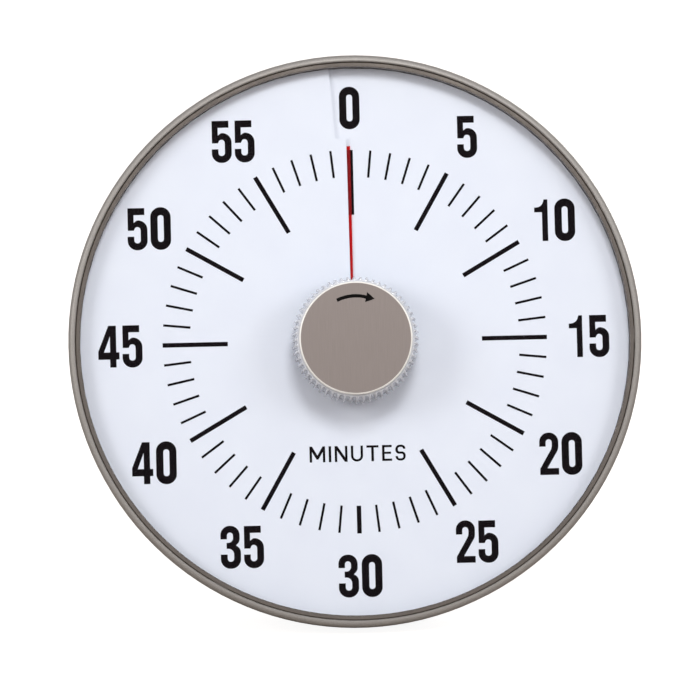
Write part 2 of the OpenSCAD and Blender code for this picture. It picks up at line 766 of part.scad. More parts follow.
module hammer() {
    arm = hammer_head_at - hammer_at;
    nose = polar(cam_r + 0.6, 4) - hammer_at;
    head_l = 3.6;
    color([0.72, 0.73, 0.75]) place() at(hammer_at) {
        lift(cam_z) linear_extrude(cam_t) difference() {
            union() {
                circle(2.6);
                rotate(atan2(arm[1], arm[0])) translate([0, -hammer_w / 2]) square([norm(arm), hammer_w]);
                rotate(atan2(nose[1], nose[0])) translate([0, -0.8]) square([norm(nose), 1.6]);
                at(arm) circle(head_r);
            }
            circle(post_r + run_gap);
        }
        at(arm, cam_z - head_l) cylinder(r = head_r, h = head_l);
    }
}

module hammer_pivot() {
    color([0.75, 0.75, 0.77]) place() at(hammer_at) {
        lift(cam_z - 0.3) cylinder(r = post_r, h = inner_rear - cam_z + 0.3);
        lift(cam_z - 0.9) cylinder(r = 1.8, h = 0.6);
    }
}

module bell() {
    flat_r = 9;
    depth = bell_rim - bell_crown;
    sweep = [for (a = [0:15:90]) a];
    outer = [for (a = sweep) [flat_r + (bell_r - flat_r) * cos(a), bell_rim - 1 - (depth - 1) * sin(a)]];
    inner = [for (a = sweep) [flat_r + (bell_r - bell_t - flat_r) * cos(a), bell_rim - 1 - (depth - 1 - bell_t) * sin(a)]];
    inner_back = [for (i = [len(inner) - 1:-1:0]) inner[i]];
    color([0.80, 0.80, 0.82]) place() at(bell_at) rotate_extrude() polygon(concat(
        [[bell_r, bell_rim]], outer, [[bell_hole_r, bell_crown], [bell_hole_r, bell_crown + bell_t]],
        inner_back, [[bell_r - bell_t, bell_rim]]));
}

module bell_post() {
    color([0.75, 0.75, 0.77]) place() at(bell_at) difference() {
        union() {
            lift(bell_crown + bell_t) cylinder(r = bell_post_r, h = rear_face - bell_crown - bell_t);
            lift(rear_face) cylinder(r = bell_hole_r - screw_gap, h = plate_t);
        }
        lift(bell_crown) cylinder(r = bell_screw_r, h = 5);
    }
}

module bell_screw() {
    color([0.62, 0.62, 0.64]) place() at(bell_at, bell_crown) mirror([0, 0, 1])
        screw(2.8, 0.9, bell_screw_r - screw_gap, 4.5);
}

// ---- Rear cover and stand ----

module rear_cover() {
    slot_x = [34:6:58];
    color([0.62, 0.59, 0.56]) place() difference() {
        union() {
            lift(case_back) cylinder(r = cover_r, h = cover_t);
            for (s = [-1, 1]) translate([s * lug_x - lug_t / 2, 0, 0]) {
                translate([0, hinge_up - lug_r, pin_z]) cube([lug_t, 2 * lug_r, hinge_out + cover_t / 2]);
                translate([0, hinge_up, pin_z]) rotate([0, 90, 0]) cylinder(r = lug_r, h = lug_t);
            }
        }
        translate([-lug_x - lug_t, hinge_up, pin_z]) rotate([0, 90, 0])
            cylinder(r = pin_r + screw_gap, h = 2 * lug_x + 2 * lug_t);
        round_array(column_angles, column_at) {
            lift(case_back - through) cylinder(r = cover_hole_r, h = cover_t + 2 * through);
            lift(case_back - through) cylinder(r = 3.1, h = 1 + through);
        }
        for (x = slot_x) for (s = [-1, 1]) translate([s * x - 1, -16, case_back - through])
            cube([2, 32, cover_t + 2 * through]);
    }
}

module cover_screws() {
    color([0.25, 0.25, 0.26]) place() round_array(column_angles, column_at) lift(case_back + 1)
        mirror([0, 0, 1]) screw(2.8, 0.9, cover_screw_r - screw_gap, 8);
}

// Everything on the leg is drawn folded against the cover, then swung open about the pin
module swing_open() {
    translate([0, hinge_up, pin_z]) rotate([leg_open, 0, 0]) children();
}

module stand_leg() {
    end = leg_len - foot_seat;
    color([0.62, 0.59, 0.56]) place() swing_open() difference() {
        union() {
            translate([0, 0, -leg_t / 2]) linear_extrude(leg_t)
                polygon([[-leg_top_w / 2, heel], [leg_top_w / 2, heel], [leg_top_w / 2, -leg_shoulder],
                         [foot_w / 2 - foot_side, -end], [foot_side - foot_w / 2, -end],
                         [-leg_top_w / 2, -leg_shoulder]]);
            translate([-leg_top_w / 2, 0, 0]) rotate([0, 90, 0]) cylinder(r = barrel_r, h = leg_top_w);
        }
        translate([-leg_top_w, 0, 0]) rotate([0, 90, 0]) cylinder(r = pin_r + run_gap, h = 2 * leg_top_w);
    }
}

module stand_pin() {
    color([0.72, 0.73, 0.75]) place() translate([-lug_x - lug_t / 2, hinge_up, pin_z]) rotate([0, 90, 0])
        cylinder(r = pin_r, h = 2 * lug_x + lug_t);
}

// Rubber foot: level with the floor when the leg is open, slotted for the leg's end
module stand_foot() {
    color([0.15, 0.15, 0.15]) difference() {
        translate([-foot_w / 2, back_shift + foot_y - foot_depth / 2, 0]) cube([foot_w, foot_depth, foot_h]);
        place() swing_open() translate([foot_side - foot_w / 2, foot_seat - leg_len, -leg_t / 2])
            cube([foot_w - 2 * foot_side, 2 * foot_h, leg_t]);
    }
}

case_shell();
bezel_ring();
front_lens();
lens_spacer();
dial_card();
card_ring();
dial_plate();
spindle_bush();
red_film();
film_collar();
knob_skirt();
knob_cap();
knob_screw();
spindle();
great_wheel();
ratchet_wheel();
click();
click_pin();
mainspring();
spring_post();
front_plate();
rear_plate();
pillars();
plate_screws();
movement_screws();
second_wheel();
second_arbor();
third_wheel();
third_arbor();
escape_wheel();
escape_arbor();
pallet_lever();
pallet_arbor();
balance_wheel();
balance_staff();
hairspring();
hairspring_stud();
trip_cam();
hammer();
hammer_pivot();
bell();
bell_post();
bell_screw();
rear_cover();
cover_screws();
stand_leg();
stand_pin();
stand_foot();
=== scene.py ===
import json
import math
import bmesh
import bpy
from mathutils import Matrix, Vector


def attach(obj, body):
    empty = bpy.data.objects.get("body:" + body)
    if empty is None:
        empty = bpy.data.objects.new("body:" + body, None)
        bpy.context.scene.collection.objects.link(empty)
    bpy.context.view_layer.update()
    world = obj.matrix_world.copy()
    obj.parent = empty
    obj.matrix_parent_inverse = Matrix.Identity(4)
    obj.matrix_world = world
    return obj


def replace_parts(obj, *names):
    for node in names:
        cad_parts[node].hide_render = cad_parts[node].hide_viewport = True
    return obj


# Wind-up kitchen timer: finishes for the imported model, the dial's print, and the clear knob skirt.

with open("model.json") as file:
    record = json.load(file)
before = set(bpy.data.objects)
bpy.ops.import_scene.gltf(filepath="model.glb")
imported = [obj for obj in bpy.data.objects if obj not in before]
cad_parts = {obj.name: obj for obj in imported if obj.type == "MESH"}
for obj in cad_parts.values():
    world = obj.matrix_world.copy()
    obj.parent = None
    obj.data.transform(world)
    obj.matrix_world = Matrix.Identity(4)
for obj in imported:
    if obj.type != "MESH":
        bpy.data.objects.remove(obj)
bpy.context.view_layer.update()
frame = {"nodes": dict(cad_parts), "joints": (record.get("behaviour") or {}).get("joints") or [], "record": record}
nodes = frame["nodes"]
MM = 0.001

# ---- The dial's own frame: x right, y towards the 0, z out of the dial, from the card's low edge ----

knob_joint = next(j for j in frame["joints"] if j["name"] == "knob_turn")
outward = -Vector(knob_joint["axis"]).normalized()
right = Vector((1, 0, 0))
dial_up = outward.cross(right)
DIAL = (Matrix.Translation(Vector(knob_joint["pos_m"]))
        @ Matrix((right, dial_up, outward)).transposed().to_4x4())
TO_DIAL = DIAL.inverted()


def dial_points(node):
    """A CAD node's vertices in the dial's frame, in millimetres."""
    return [TO_DIAL @ v.co / MM for v in nodes[node].data.vertices]


def radius(points):
    return max(math.hypot(p.x, p.y) for p in points)


card_rise = max(p.z for p in dial_points("dial_card"))
cap_points = dial_points("knob_cap")
cap_radius = radius(cap_points)
cap_back = min(p.z for p in cap_points)
cap_face = max(p.z for p in cap_points)
skirt_points = dial_points("knob_skirt")
skirt_radius = radius(skirt_points)
skirt_base = min(p.z for p in skirt_points)

SLIT_STEP_R = 64.3      # radius where the card's slit steps aside
SLIT_STEP_DEG = 4.2     # how far its outer part stands from the 0 line
SLIT_LEFT = 1.25        # distance of its inner part from the 0 line
INK = 0.03              # thickness of the print
CAP_EDGE_W = 0.52       # width of the cap's bright edge, a near-white ring painted for the cut edge's glint
CAP_EDGE_BLEND = 0.06   # over which the edge meets the brushed face
COATED_SHINE = 0.08     # share of bare acrylic's mirror that the window's coat leaves


def card_height(x, y):
    """Height of the card's face at a point, from its helix; the slit cuts it just before 0."""
    r, turn = math.hypot(x, y), math.degrees(math.atan2(x, y))
    start = -SLIT_STEP_DEG if r > SLIT_STEP_R else -math.degrees(math.asin(SLIT_LEFT / r))
    while turn < start:
        turn += 360
    return card_rise * turn / 360


# ---- Small helpers ----

def linear(hex_colour):
    """An sRGB hex colour as linear RGBA."""
    channels = [int(hex_colour[i:i + 2], 16) / 255 for i in (1, 3, 5)]
    return tuple(c / 12.92 if c <= 0.04045 else ((c + 0.055) / 1.055) ** 2.4 for c in channels) + (1,)


def add(tree, kind, inputs=None, **settings):
    """Adds a node with its settings; an input is a value, a socket, or a node for its first output."""
    node = tree.nodes.new(kind)
    for name, value in settings.items():
        setattr(node, name, value)
    for name, value in (inputs or {}).items():
        if isinstance(value, bpy.types.Node):
            value = value.outputs[0]
        if isinstance(value, bpy.types.NodeSocket):
            tree.links.new(value, node.inputs[name])
        else:
            node.inputs[name].default_value = value
    return node


def finish(name, build):
    """A material from a function that adds its nodes and gives its shader."""
    made = bpy.data.materials.new(name)
    made.use_nodes = True
    tree = made.node_tree
    tree.nodes.clear()
    add(tree, "ShaderNodeOutputMaterial", {"Surface": build(tree)})
    return made


def dial_place(tree, stretch=(1, 1, 1)):
    """Object coordinates in the dial's frame, in millimetres; stretch squeezes a pattern."""
    inner = add(tree, "ShaderNodeMapping", {
        "Vector": add(tree, "ShaderNodeTexCoord").outputs["Object"], "Location": TO_DIAL.translation / MM,
        "Rotation": TO_DIAL.to_euler(), "Scale": (1 / MM,) * 3})
    if stretch == (1, 1, 1):
        return inner
    return add(tree, "ShaderNodeMapping", {"Vector": inner, "Scale": stretch})


def mottle(tree, grain_mm, low, high, stretch=(1, 1, 1), detail=2):
    """A cloudy pattern with grains of a real size in millimetres, mapped to a range."""
    noise = add(tree, "ShaderNodeTexNoise", {
        "Vector": dial_place(tree, stretch), "Scale": 1 / grain_mm, "Detail": detail})
    return add(tree, "ShaderNodeMapRange", {
        "Value": noise, "From Min": 0.3, "From Max": 0.7, "To Min": low, "To Max": high})


def between(tree, hex_low, hex_high, pattern):
    """The colours between two hex colours, laid out by a pattern from 0 to 1."""
    return add(tree, "ShaderNodeMix", {
        0: pattern, 6: linear(hex_low), 7: linear(hex_high)}, data_type="RGBA").outputs[2]


# ---- Finishes ----

def sprayed_lacquer(low, high, rough, metallic):
    """Metallic lacquer sprayed on moulded ABS: fine flakes under a satin coat, with faint orange peel."""
    def build(tree):
        peel = add(tree, "ShaderNodeBump", {
            "Height": mottle(tree, 1.6, 0, 1, detail=1), "Distance": 0.006 * MM, "Strength": 1.0})
        return add(tree, "ShaderNodeBsdfPrincipled", {
            "Base Color": between(tree, low, high, mottle(tree, 0.35, 0, 1, detail=1)),
            "Metallic": metallic, "Roughness": mottle(tree, 6, rough - 0.03, rough + 0.04),
            "Normal": peel, "Coat Weight": 0.12, "Coat Roughness": 0.3})
    return build


def moulded_plastic(low, high, rough, grain_mm=0.5, depth_mm=0.02):
    """Moulded ABS or acetal: a spark-eroded grain and a faint cloudiness of tone."""
    def build(tree):
        grain = add(tree, "ShaderNodeBump", {
            "Height": mottle(tree, grain_mm, 0, 1), "Distance": depth_mm * MM, "Strength": 1.0})
        return add(tree, "ShaderNodeBsdfPrincipled", {
            "Base Color": between(tree, low, high, mottle(tree, 9, 0, 1)), "IOR": 1.53,
            "Roughness": mottle(tree, grain_mm * 3, rough - 0.05, rough + 0.05), "Normal": grain})
    return build


def worked_metal(low, high, rough, grain_mm=0.4, stretch=(1, 1, 0.06)):
    """Turned, rolled or plated metal: fine marks that run along one direction, or a fine even grain."""
    def build(tree):
        marks = mottle(tree, grain_mm, 0, 1, stretch)
        scored = add(tree, "ShaderNodeBump", {"Height": marks, "Distance": 0.003 * MM, "Strength": 1.0})
        return add(tree, "ShaderNodeBsdfPrincipled", {
            "Base Color": between(tree, low, high, marks), "Metallic": 1.0,
            "Roughness": mottle(tree, grain_mm, rough - 0.06, rough + 0.06, stretch), "Normal": scored})
    return build


def anodised_cap(tree):
    """Taupe anodised aluminium, finely brushed up and down, with a diamond-cut edge whose glint is painted as a
    near-white, barely metallic ring.
    """
    off_axis = add(tree, "ShaderNodeVectorMath", {0: dial_place(tree, (1, 1, 0))}, operation="LENGTH")
    glint_edge = add(tree, "ShaderNodeMapRange", {
        "Value": off_axis.outputs["Value"], "From Min": cap_radius - CAP_EDGE_W,
        "From Max": cap_radius - CAP_EDGE_W + CAP_EDGE_BLEND, "To Min": 0, "To Max": 1})
    # real brush lines are finer than a render can show, so they are drawn 0.3 mm apart
    brushing = mottle(tree, 0.3, 0, 1, (1, 0.04, 1), 3)
    brushed = add(tree, "ShaderNodeBump", {"Height": brushing, "Distance": 0.002 * MM, "Strength": 1.0})
    face = between(tree, "#958B86", "#998F8A", brushing)
    # painted highlight: the cut edge's ring is near-white and nearly without metal, so it reads bright under any
    # lamp
    return add(tree, "ShaderNodeBsdfPrincipled", {
        "Base Color": add(tree, "ShaderNodeMix", {
            0: glint_edge, 6: face, 7: linear("#F4F1EB")}, data_type="RGBA").outputs[2],
        "Metallic": add(tree, "ShaderNodeMapRange", {"Value": glint_edge, "To Min": 0.85, "To Max": 0.1}),
        "Roughness": add(tree, "ShaderNodeMapRange", {"Value": glint_edge, "To Min": 0.46, "To Max": 0.4}),
        "Normal": brushed})


def printed_sheet(tree):
    """Smooth white polystyrene sheet: very faint cloudiness, satin face."""
    even = add(tree, "ShaderNodeBump", {
        "Height": mottle(tree, 0.8, 0, 1), "Distance": 0.004 * MM, "Strength": 1.0})
    return add(tree, "ShaderNodeBsdfPrincipled", {
        "Base Color": between(tree, "#F0F2FA", "#F3F5FC", mottle(tree, 14, 0, 1)),
        "Roughness": mottle(tree, 3, 0.46, 0.54), "IOR": 1.55, "Normal": even})


def clear_sheet(tree):
    """Clear acrylic window with an anti-glare coat: mirrors very little, by angle, and passes the rest."""
    bare = add(tree, "ShaderNodeFresnel", {"IOR": 1.49})
    shine = add(tree, "ShaderNodeMath", {0: bare, 1: COATED_SHINE}, operation="MULTIPLY")
    mirror = add(tree, "ShaderNodeBsdfGlossy", {
        "Roughness": mottle(tree, 30, 0.03, 0.06), "Color": linear("#FFFFFF")})
    passed = add(tree, "ShaderNodeBsdfTransparent", {"Color": linear("#FDFEFF")})
    return add(tree, "ShaderNodeMixShader", {0: shine, 1: passed, 2: mirror})


def clear_moulding(tree):
    """Clear moulded acrylic with a frosted inside: whitish, and bright where its ribs turn to the light."""
    ripple = add(tree, "ShaderNodeBump", {
        "Height": mottle(tree, 1.2, 0, 1), "Distance": 0.004 * MM, "Strength": 1.0})
    body = add(tree, "ShaderNodeBsdfPrincipled", {
        "Base Color": between(tree, "#DADCE2", "#E4E6EC", mottle(tree, 4, 0, 1)),
        "Roughness": mottle(tree, 2, 0.1, 0.16), "IOR": 1.49, "Transmission Weight": 0.06,
        "Specular IOR Level": 0.9, "Normal": ripple})
    passed = add(tree, "ShaderNodeBsdfTransparent", {"Color": linear("#E6E7EB")})
    return add(tree, "ShaderNodeMixShader", {0: 0.1, 1: body, 2: passed})


def tinted_film(tree):
    """Red translucent PVC film: it colours the card under it and turns the print under it dark red."""
    body = add(tree, "ShaderNodeBsdfPrincipled", {
        "Base Color": between(tree, "#E01824", "#E61E29", mottle(tree, 8, 0, 1)),
        "Roughness": mottle(tree, 2, 0.3, 0.4), "IOR": 1.53})
    passed = add(tree, "ShaderNodeBsdfTransparent", {"Color": linear("#F8182A")})
    return add(tree, "ShaderNodeMixShader", {0: 0.78, 1: body, 2: passed})


def printed_ink(low, high):
    """Screen or pad printing ink: a dense matt black with a slight rise of tone where it lies thin."""
    def build(tree):
        return add(tree, "ShaderNodeBsdfPrincipled", {
            "Base Color": between(tree, low, high, mottle(tree, 1.5, 0, 1)),
            "Roughness": mottle(tree, 0.6, 0.5, 0.62), "Specular IOR Level": 0.04})
    return build


def soft_rubber(tree):
    """Black rubber pad: matt, with a fine moulded grain and a dusty bloom."""
    grain = add(tree, "ShaderNodeBump", {
        "Height": mottle(tree, 0.7, 0, 1), "Distance": 0.04 * MM, "Strength": 1.0})
    return add(tree, "ShaderNodeBsdfPrincipled", {
        "Base Color": between(tree, "#1D1D1D", "#2A2A29", mottle(tree, 5, 0, 1)),
        "Roughness": mottle(tree, 1.5, 0.72, 0.85), "IOR": 1.5,
        "Sheen Weight": 0.15, "Sheen Roughness": 0.5, "Normal": grain})


finishes = {
    "case_paint": finish("satin_warm_grey_lacquer", sprayed_lacquer("#97928D", "#A6A29D", 0.52, 0.42)),
    "bezel_paint": finish("satin_taupe_lacquer", sprayed_lacquer("#8E857D", "#9C938A", 0.22, 0.9)),
    "lens_clear": finish("polished_clear_acrylic", clear_sheet),
    "dark_plastic": finish("moulded_dark_abs", moulded_plastic("#4A4545", "#575151", 0.5)),
    "dial_white": finish("printed_white_polystyrene", printed_sheet),
    "plate_white": finish("moulded_white_abs", moulded_plastic("#E2E2DF", "#EBEBE8", 0.5)),
    "film_red": finish("translucent_red_pvc", tinted_film),
    "hub_white": finish("moulded_white_acetal", moulded_plastic("#E6E6E4", "#F0F0EE", 0.35, 1.2, 0.006)),
    "knob_clear": finish("moulded_clear_acrylic", clear_moulding),
    "knob_metal": finish("brushed_taupe_anodised_aluminium", anodised_cap),
    "steel": finish("turned_steel", worked_metal("#A9ABAE", "#C3C5C8", 0.3)),
    "screw_steel": finish("zinc_plated_steel", worked_metal("#A0A3A8", "#BCC0C4", 0.34, 0.6, (1, 1, 1))),
    "screw_black": finish("black_oxide_steel", worked_metal("#1E1E20", "#2C2C2F", 0.42, 0.6, (1, 1, 1))),
    "spring_steel": finish("blued_spring_steel", worked_metal("#3A4766", "#525E7C", 0.28, 2, (1, 1, 0.2))),
    "brass": finish("rolled_brass", worked_metal("#C9A25C", "#D9B56E", 0.3, 0.5, (0.05, 1, 1))),
    "wheel_acetal": finish("moulded_ivory_acetal", moulded_plastic("#DEDCCF", "#EAE8DC", 0.38, 1.0, 0.006)),
    "bell_nickel": finish("nickel_plated_steel", worked_metal("#C9C8C4", "#D6D5D1", 0.14, 3.0, (1, 1, 1))),
    "back_plastic": finish("moulded_warm_grey_abs", moulded_plastic("#7D7972", "#817D76", 0.5)),
    "rubber": finish("moulded_black_rubber", soft_rubber),
}
dial_ink = finish("black_screen_ink", printed_ink("#0C070A", "#140C10"))
arrow_ink = finish("black_pad_ink", printed_ink("#0B0A0A", "#151312"))

# every carried-over node takes the finish of its own material slot
for part in frame["record"]["subparts"]:
    mesh = nodes[part["node"]].data
    mesh.materials.clear()
    mesh.materials.append(finishes[part["material_slot"]])


# ---- Node trees for what repeats ----

def node_tree(name, inputs):
    """An empty Geometry Nodes tree with named inputs, and the sockets they come from."""
    tree = bpy.data.node_groups.new(name, "GeometryNodeTree")
    for label, value in inputs.items():
        kind = "NodeSocketInt" if isinstance(value, int) else "NodeSocketFloat"
        kind = "NodeSocketGeometry" if value is None else kind
        socket = tree.interface.new_socket(label, in_out="INPUT", socket_type=kind)
        if value is not None:
            socket.default_value = value
    tree.interface.new_socket("Geometry", in_out="OUTPUT", socket_type="NodeSocketGeometry")
    return tree, add(tree, "NodeGroupInput").outputs


def close_tree(tree, geometry, material):
    """Ends a tree in plain geometry with a material."""
    plain = add(tree, "GeometryNodeRealizeInstances", {0: geometry})
    add(tree, "NodeGroupOutput", {0: add(tree, "GeometryNodeSetMaterial", {
        "Geometry": plain, "Material": material})})


def grown(name, tree, values, start=None):
    """The plain mesh that a tree gives for these input values."""
    holder = bpy.data.objects.new(name, start or bpy.data.meshes.new(name))
    bpy.context.scene.collection.objects.link(holder)
    maker = holder.modifiers.new("maker", "NODES")
    maker.node_group = tree
    names = {s.name: s.identifier for s in tree.interface.items_tree if s.in_out == "INPUT"}
    for label, value in values.items():
        maker[names[label]] = value
    graph = bpy.context.evaluated_depsgraph_get()
    mesh = bpy.data.meshes.new_from_object(holder.evaluated_get(graph), depsgraph=graph)
    holder.modifiers.clear()
    bpy.data.objects.remove(holder)
    return mesh


def piece(name, mesh, body, crease_deg=0):
    """A finished piece from a mesh drawn in the dial's frame in millimetres, riding on a body."""
    mesh.transform(DIAL @ Matrix.Scale(MM, 4))
    for face in mesh.polygons:
        face.use_smooth = crease_deg > 0
    if crease_deg:
        mesh.set_sharp_from_angle(angle=math.radians(crease_deg))
    made = bpy.data.objects.new(name, mesh)
    bpy.context.scene.collection.objects.link(made)
    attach(made, body)
    return made


def joined(meshes):
    """One mesh from several that share a material."""
    whole = bmesh.new()
    for mesh in meshes:
        whole.from_mesh(mesh)
    result = meshes[0].copy()
    whole.to_mesh(result)
    whole.free()
    return result


# ---- Ticks ----

def tick_tree():
    """Bars round the dial: each is turned clockwise by its step and raised along the card's helix."""
    tree, given = node_tree("ring_of_ticks", {
        "Count": 60, "Step": 6.0, "Skip": 5, "Inner": 50.0, "Outer": 60.0, "Width": 0.6,
        "Aside": 0.0, "Rise": 1.2, "Ink": 0.03})
    index = add(tree, "GeometryNodeInputIndex")
    number = add(tree, "ShaderNodeMath", {0: index, 1: 1.0}, operation="ADD")
    degrees = add(tree, "ShaderNodeMath", {0: number, 1: given["Step"]}, operation="MULTIPLY")
    radians = add(tree, "ShaderNodeMath", {0: degrees, 1: -math.pi / 180}, operation="MULTIPLY")
    turns = add(tree, "ShaderNodeMath", {0: degrees, 1: 1 / 360}, operation="MULTIPLY")
    height = add(tree, "ShaderNodeMath", {0: turns, 1: given["Rise"]}, operation="MULTIPLY")
    dots = add(tree, "GeometryNodePoints", {
        "Count": given["Count"], "Position": add(tree, "ShaderNodeCombineXYZ", {"Z": height})})
    # each point keeps its turn, because the deletion renumbers them
    stored = add(tree, "GeometryNodeStoreNamedAttribute", {
        "Geometry": dots, "Name": "turn", "Value": add(tree, "ShaderNodeCombineXYZ", {"Z": radians})},
        data_type="FLOAT_VECTOR", domain="POINT")
    rest = add(tree, "ShaderNodeMath", {0: number, 1: given["Skip"]}, operation="MODULO")
    skipped = add(tree, "FunctionNodeCompare", {"A": rest, "B": 0.5},
                  data_type="FLOAT", operation="LESS_THAN")
    kept = add(tree, "GeometryNodeDeleteGeometry", {"Geometry": stored, "Selection": skipped})
    length = add(tree, "ShaderNodeMath", {0: given["Outer"], 1: given["Inner"]}, operation="SUBTRACT")
    ends = add(tree, "ShaderNodeMath", {0: given["Outer"], 1: given["Inner"]}, operation="ADD")
    bar = add(tree, "GeometryNodeMeshCube", {"Size": add(tree, "ShaderNodeCombineXYZ", {
        "X": given["Width"], "Y": length, "Z": given["Ink"]})})
    middle = add(tree, "ShaderNodeCombineXYZ", {
        "X": given["Aside"],
        "Y": add(tree, "ShaderNodeMath", {0: ends, 1: 0.5}, operation="MULTIPLY"),
        "Z": add(tree, "ShaderNodeMath", {0: given["Ink"], 1: 0.5}, operation="MULTIPLY")})
    turn = add(tree, "GeometryNodeInputNamedAttribute", {"Name": "turn"}, data_type="FLOAT_VECTOR")
    bars = add(tree, "GeometryNodeInstanceOnPoints", {
        "Points": kept, "Rotation": turn,
        "Instance": add(tree, "GeometryNodeTransform", {"Geometry": bar, "Translation": middle})})
    close_tree(tree, bars, dial_ink)
    return tree


ticks = tick_tree()
TICK_END = 60.5
MINUTE = {"Count": 60, "Step": 6.0, "Skip": 5, "Inner": 51.9, "Outer": TICK_END, "Width": 0.74}
FIVE = {"Count": 12, "Step": 30.0, "Skip": 6, "Inner": 40.0, "Outer": TICK_END, "Width": 1.4}
HALF = {"Count": 1, "Step": 180.0, "Skip": 2, "Inner": 51.8, "Outer": TICK_END, "Width": 1.4}
# the 0 tick stands beside the slit, so that the film's edge covers its left part
ZERO = {"Count": 1, "Step": 0.0, "Skip": 2, "Inner": 40.0, "Outer": TICK_END, "Width": 1.9, "Aside": -0.2}
shared = {"Rise": card_rise, "Ink": INK}
piece("minute_ticks", grown("minute_ticks", ticks, {**MINUTE, **shared}), "case")
piece("five_minute_ticks", joined([grown("five_minute_ticks", ticks, {**one, **shared})
                                   for one in (FIVE, HALF, ZERO)]), "case")

# ---- Numerals: condensed bold figures, each loop a list of corners (x, y, rounding) in millimetres ----

FIGURES = {
    "0": (6.3, [[(0, -.15, 3.1), (6.3, -.15, 3.1), (6.3, 13.05, 3.1), (0, 13.05, 3.1)],
                [(2.25, 2.3, .88), (4.1, 2.3, .88), (4.1, 10.6, .88), (2.25, 10.6, .88)]]),
    "1": (5.3, [[(2.4, 0, 0), (4.15, 0, 0), (4.15, 12.9, 0), (3.0, 12.9, 0), (2.35, 10.6, 2.2),
                 (0, 10.4, 0), (0, 8.95, 0), (2.4, 8.95, 0)]]),
    "2": (5.9, [[(0, 8.75, 0), (0, 13.05, 2.85), (5.85, 13.05, 2.85), (5.85, 7.9, 3.2), (2.35, 2.05, 0),
                 (5.9, 2.05, 0), (5.9, 0, 0), (.1, 0, 0), (.1, 1.9, 0), (3.85, 8.3, 3.2),
                 (3.85, 11.0, .95), (1.95, 11.0, .95), (1.95, 8.75, 0)]]),
    "3": (6.2, [[(0, 8.95, 0), (0, 13.05, 2.85), (5.9, 13.05, 2.85), (5.9, 8.1, 2.2), (4.7, 7.0, 0),
                 (6.2, 6.0, 2.2), (6.2, -.15, 3.0), (0, -.15, 3.0), (0, 4.25, 0), (2.1, 4.25, 0),
                 (2.1, 2, .95), (4.1, 2, .95), (4.1, 6.0, 1.7), (1.85, 6.0, 0), (1.85, 7.85, 0),
                 (3.85, 7.85, 1.4), (3.85, 11.0, .92), (2.0, 11.0, .92), (2.0, 8.95, 0)]]),
    "4": (6.5, [[(3.6, 0, 0), (5.55, 0, 0), (5.55, 2.45, 0), (6.5, 2.45, 0), (6.5, 4.65, 0),
                 (5.55, 4.65, 0), (5.55, 12.9, 0), (3.2, 12.9, 0), (0, 4.95, 0), (0, 2.45, 0),
                 (3.6, 2.45, 0)],
                [(1.75, 4.65, 0), (3.65, 4.65, 0), (3.65, 9.6, 0)]]),
    "5": (6.15, [[(.1, 12.9, 0), (5.3, 12.9, 0), (5.3, 10.75, 0), (1.95, 10.75, 0), (1.95, 8.35, 0),
                  (2.9, 9.1, 1.2), (6.15, 9.1, 2.9), (6.15, -.15, 3.0), (0, -.15, 3.0), (0, 4.1, 0),
                  (2.05, 4.1, 0), (2.05, 2, .95), (4.05, 2, .95), (4.05, 7.05, 1.0), (2.45, 7.05, .8),
                  (1.95, 5.95, 0), (.1, 5.95, 0)]]),
}
FIGURE_GAP = 0.95
FIGURE_HEIGHT = 12.9
FIGURE_SCALE = 1.02
NUMERAL_R = 73.8

# plain capitals, drawn in the same way
LETTERS = {
    "M": (4.9, [[(0, 0, 0), (.75, 0, 0), (.75, 3.3, 0), (2.15, .9, 0), (2.75, .9, 0), (4.15, 3.3, 0),
                 (4.15, 0, 0), (4.9, 0, 0), (4.9, 5, 0), (4.1, 5, 0), (2.45, 2.15, 0), (.8, 5, 0),
                 (0, 5, 0)]]),
    "I": (.8, [[(0, 0, 0), (.8, 0, 0), (.8, 5, 0), (0, 5, 0)]]),
    "N": (4.0, [[(0, 0, 0), (.75, 0, 0), (.75, 3.6, 0), (3.15, 0, 0), (4, 0, 0), (4, 5, 0), (3.25, 5, 0),
                 (3.25, 1.4, 0), (.85, 5, 0), (0, 5, 0)]]),
    "U": (3.8, [[(0, 5, 0), (0, 0, 1.85), (3.8, 0, 1.85), (3.8, 5, 0), (3.05, 5, 0), (3.05, .7, 1.1),
                 (.75, .7, 1.1), (.75, 5, 0)]]),
    "T": (3.8, [[(1.5, 0, 0), (2.3, 0, 0), (2.3, 4.3, 0), (3.8, 4.3, 0), (3.8, 5, 0), (0, 5, 0),
                 (0, 4.3, 0), (1.5, 4.3, 0)]]),
    "E": (3.1, [[(0, 0, 0), (3.1, 0, 0), (3.1, .7, 0), (.78, .7, 0), (.78, 2.2, 0), (2.8, 2.2, 0),
                 (2.8, 2.88, 0), (.78, 2.88, 0), (.78, 4.3, 0), (3.05, 4.3, 0), (3.05, 5, 0), (0, 5, 0)]]),
    "S": (3.2, [[(0, 1.45, 0), (0, 0, 1.4), (3.2, 0, 1.4), (3.2, 2.85, 1.2), (.78, 2.85, .5),
                 (.78, 4.3, .6), (2.4, 4.3, .5), (2.4, 3.7, 0), (3.15, 3.7, 0), (3.15, 5, 1.25),
                 (0, 5, 1.4), (0, 2.15, 1.2), (2.42, 2.15, .5), (2.42, .7, .6), (.75, .7, .5),
                 (.75, 1.45, 0)]]),
}
LETTER_GAP = 1.1
LETTER_HEIGHT = 5
WORD_DOWN = 35.4        # from the spindle down to the word's middle


